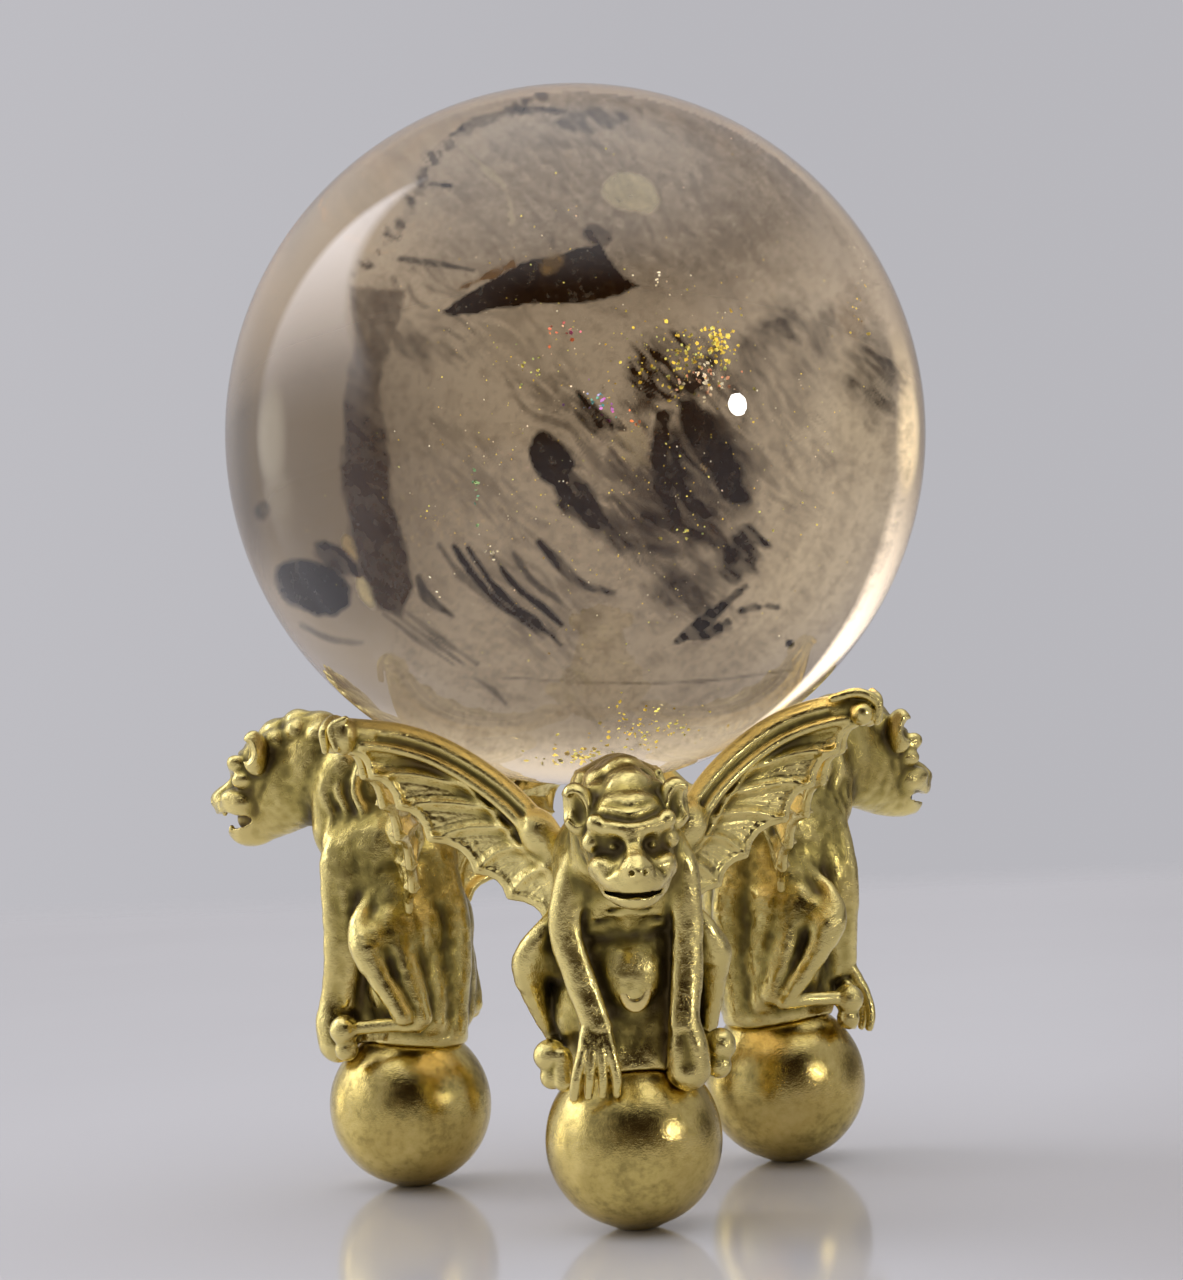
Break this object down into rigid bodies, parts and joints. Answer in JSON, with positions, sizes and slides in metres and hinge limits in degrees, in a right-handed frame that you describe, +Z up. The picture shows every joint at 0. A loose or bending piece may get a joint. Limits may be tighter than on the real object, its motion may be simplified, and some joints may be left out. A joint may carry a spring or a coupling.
{
  "type": "crystal ball on a stand",
  "caption": "Smoky quartz ball resting on a cast brass stand of winged gargoyles that crouch on ball feet.",
  "frame": {"origin": "the stand's upright axis at the table's surface", "axes": "+Z up through the ball's centre; the front gargoyle faces -Y and +X is to its viewer's right"},
  "size_m": [0.0557, 0.0572, 0.079],
  "materials": {
    "smoky_quartz": "polished, pale smoky brown with dark and golden inclusions",
    "antiqued_brass": "cast and hand polished, dark patina in the recesses",
    "polished_brass": "polished with a few dark pits",
    "plain_brass": "turned",
    "tag_brass": "polished, blank"
  },
  "bodies": {
    "stand": {"gargoyle_front": "antiqued_brass", "gargoyle_left": "antiqued_brass", "gargoyle_right": "antiqued_brass", "wing_front_l": "antiqued_brass", "wing_front_r": "antiqued_brass", "wing_left_l": "antiqued_brass", "wing_left_r": "antiqued_brass", "wing_right_l": "antiqued_brass", "wing_right_r": "antiqued_brass", "braze_left": "antiqued_brass", "braze_right": "antiqued_brass", "braze_back": "antiqued_brass", "foot_ball_front": "polished_brass", "foot_ball_left": "polished_brass", "foot_ball_right": "polished_brass", "peg_front": "plain_brass", "peg_left": "plain_brass", "peg_right": "plain_brass", "belly_tag": "tag_brass"},
    "ball": {"crystal_ball": "smoky_quartz"}
  },
  "joints": [
    {"name": "ball_lift", "type": "slide", "parent": "stand", "child": "ball", "axis": [0, 0, 1], "range_m": [0, 0.06]}
  ]
}
